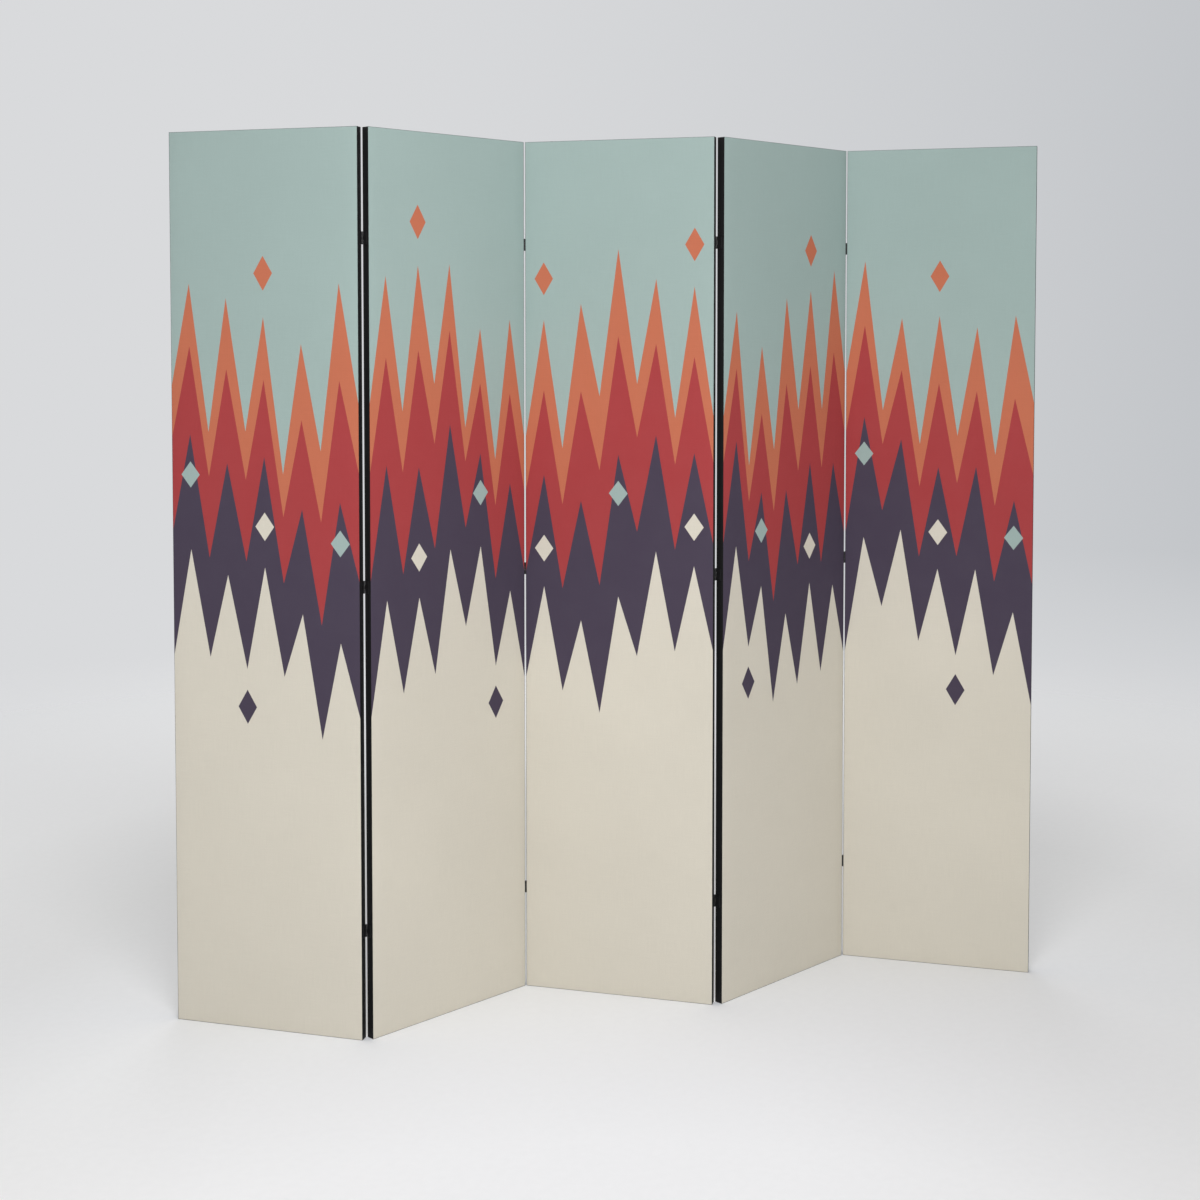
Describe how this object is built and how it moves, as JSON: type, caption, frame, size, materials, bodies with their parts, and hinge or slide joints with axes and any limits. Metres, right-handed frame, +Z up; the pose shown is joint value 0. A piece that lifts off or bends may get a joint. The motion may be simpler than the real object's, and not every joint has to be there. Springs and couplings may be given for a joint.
{
  "type": "folding screen room divider",
  "caption": "Free-standing folding screen of flat canvas-covered panels in a zigzag, with black edges and small butt hinges in the folds.",
  "frame": {"origin": "on the floor under the centre of the middle panel, at the middle of the screen's footprint", "axes": "+X along the screen's line to the viewer's right, the printed fronts look towards -Y, +Z up"},
  "size_m": [1.7894, 0.2156, 1.775],
  "materials": {
    "printed_canvas": "matt printed weave",
    "plain_canvas": "matt plain weave",
    "edge_tape": "matt black cloth tape",
    "pine": "planed, unfinished",
    "plywood": "sawn, unfinished",
    "hinge_leaf": "satin black",
    "hinge_pin": "satin black"
  },
  "bodies": {
    "panel_1": {"panel_1_left_stile": "pine", "panel_1_right_stile": "pine", "panel_1_top_rail": "pine", "panel_1_bottom_rail": "pine", "panel_1_cross_rails": "pine", "panel_1_corner_keys": "plywood", "panel_1_front_canvas": "printed_canvas", "panel_1_back_canvas": "plain_canvas", "panel_1_edge_tape": "edge_tape", "fold_1_2_left_leaves": "hinge_leaf", "fold_1_2_pins": "hinge_pin"},
    "panel_2": {"panel_2_left_stile": "pine", "panel_2_right_stile": "pine", "panel_2_top_rail": "pine", "panel_2_bottom_rail": "pine", "panel_2_cross_rails": "pine", "panel_2_corner_keys": "plywood", "panel_2_front_canvas": "printed_canvas", "panel_2_back_canvas": "plain_canvas", "panel_2_edge_tape": "edge_tape", "fold_1_2_right_leaves": "hinge_leaf", "fold_2_3_left_leaves": "hinge_leaf", "fold_2_3_pins": "hinge_pin"},
    "panel_3": {"panel_3_left_stile": "pine", "panel_3_right_stile": "pine", "panel_3_top_rail": "pine", "panel_3_bottom_rail": "pine", "panel_3_cross_rails": "pine", "panel_3_corner_keys": "plywood", "panel_3_front_canvas": "printed_canvas", "panel_3_back_canvas": "plain_canvas", "panel_3_edge_tape": "edge_tape", "fold_2_3_right_leaves": "hinge_leaf", "fold_3_4_left_leaves": "hinge_leaf", "fold_3_4_pins": "hinge_pin"},
    "panel_4": {"panel_4_left_stile": "pine", "panel_4_right_stile": "pine", "panel_4_top_rail": "pine", "panel_4_bottom_rail": "pine", "panel_4_cross_rails": "pine", "panel_4_corner_keys": "plywood", "panel_4_front_canvas": "printed_canvas", "panel_4_back_canvas": "plain_canvas", "panel_4_edge_tape": "edge_tape", "fold_3_4_right_leaves": "hinge_leaf", "fold_4_5_left_leaves": "hinge_leaf", "fold_4_5_pins": "hinge_pin"},
    "panel_5": {"panel_5_left_stile": "pine", "panel_5_right_stile": "pine", "panel_5_top_rail": "pine", "panel_5_bottom_rail": "pine", "panel_5_cross_rails": "pine", "panel_5_corner_keys": "plywood", "panel_5_front_canvas": "printed_canvas", "panel_5_back_canvas": "plain_canvas", "panel_5_edge_tape": "edge_tape", "fold_4_5_right_leaves": "hinge_leaf"}
  },
  "joints": [
    {"name": "fold_2_3", "type": "hinge", "parent": "panel_3", "child": "panel_2", "pos_m": [-0.17924, 0.09275, 0.8875], "axis": [0, 0, -1], "range_deg": [-120, 60]},
    {"name": "fold_3_4", "type": "hinge", "parent": "panel_3", "child": "panel_4", "pos_m": [0.17924, -0.09275, 0.8875], "axis": [0, 0, -1], "range_deg": [-120, 60]},
    {"name": "fold_1_2", "type": "hinge", "parent": "panel_2", "child": "panel_1", "pos_m": [-0.53772, -0.09275, 0.8875], "axis": [0, 0, 1], "range_deg": [-120, 60]},
    {"name": "fold_4_5", "type": "hinge", "parent": "panel_4", "child": "panel_5", "pos_m": [0.53772, 0.09275, 0.8875], "axis": [0, 0, 1], "range_deg": [-120, 60]}
  ],
  "couplings": [
    {"joint": "fold_3_4", "follows": "fold_2_3", "ratio": 1}
  ]
}
